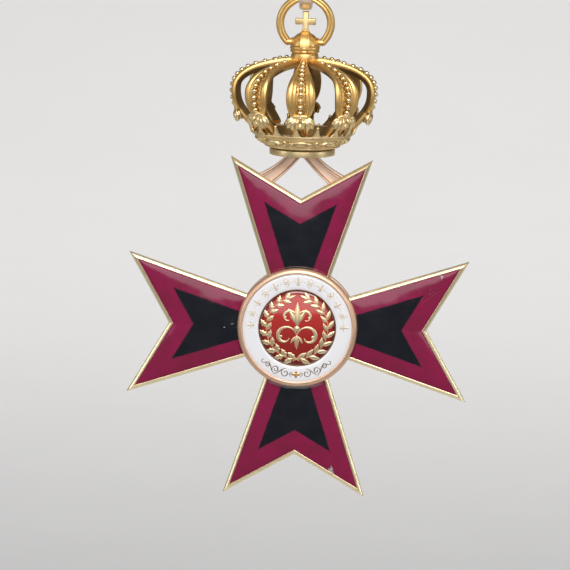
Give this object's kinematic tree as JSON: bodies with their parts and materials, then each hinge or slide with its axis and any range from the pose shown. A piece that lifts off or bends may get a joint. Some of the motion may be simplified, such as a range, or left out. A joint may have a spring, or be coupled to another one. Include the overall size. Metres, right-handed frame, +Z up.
{
  "type": "order badge",
  "caption": "Enamelled cross with forked arms and a round medallion, hung by scrolled bands from an openwork crown, orb, ring and long loop.",
  "frame": {"origin": "top of the inside of the hanging loop, where it bears on what it hangs from", "axes": "+Z up through the crown, -Y towards the front of the medallion, +X to the viewer's right"},
  "size_m": [0.072, 0.0314, 0.1181],
  "materials": {
    "gold": "matt gilding with burnished edges",
    "pale_gold": "polished pale gilding",
    "rose_gold": "polished rose gilding",
    "crimson_enamel": "glossy enamel",
    "black_enamel": "glossy enamel",
    "white_enamel": "glossy enamel",
    "red_enamel": "glossy enamel"
  },
  "bodies": {
    "loop": {"hanging_loop": "rose_gold"},
    "ring": {"suspension_ring": "gold"},
    "badge": {"orb_cross": "pale_gold", "orb": "gold", "arch_1": "gold", "arch_2": "gold", "arch_3": "gold", "arch_4": "gold", "arch_5": "gold", "arch_6": "gold", "arch_7": "gold", "arch_8": "gold", "leaf_1": "gold", "leaf_2": "gold", "leaf_3": "gold", "leaf_4": "gold", "leaf_5": "gold", "leaf_6": "gold", "leaf_7": "gold", "leaf_8": "gold", "crown_circlet": "gold", "scroll_bracket": "rose_gold", "cross_frame": "pale_gold", "crimson_front_top": "crimson_enamel", "crimson_front_left": "crimson_enamel", "crimson_front_bottom": "crimson_enamel", "crimson_front_right": "crimson_enamel", "crimson_back_top": "crimson_enamel", "crimson_back_left": "crimson_enamel", "crimson_back_bottom": "crimson_enamel", "crimson_back_right": "crimson_enamel", "black_front_top": "black_enamel", "black_front_left": "black_enamel", "black_front_bottom": "black_enamel", "black_front_right": "black_enamel", "black_back_top": "black_enamel", "black_back_left": "black_enamel", "black_back_bottom": "black_enamel", "black_back_right": "black_enamel", "medallion_post": "gold", "front_bezel": "rose_gold", "white_band": "white_enamel", "disc_fillet": "gold", "red_disc": "red_enamel", "wreath": "gold", "fleuron": "gold", "back_bezel": "rose_gold", "back_disc": "white_enamel"}
  },
  "joints": [
    {"name": "ring_swing", "type": "hinge", "parent": "loop", "child": "ring", "pos_m": [0, 0, -0.01016], "axis": [1, 0, 0], "range_deg": [-20, 20]},
    {"name": "badge_swing", "type": "hinge", "parent": "ring", "child": "badge", "pos_m": [0, 0, -0.01962], "axis": [1, 0, 0], "range_deg": [-75, 75]}
  ]
}
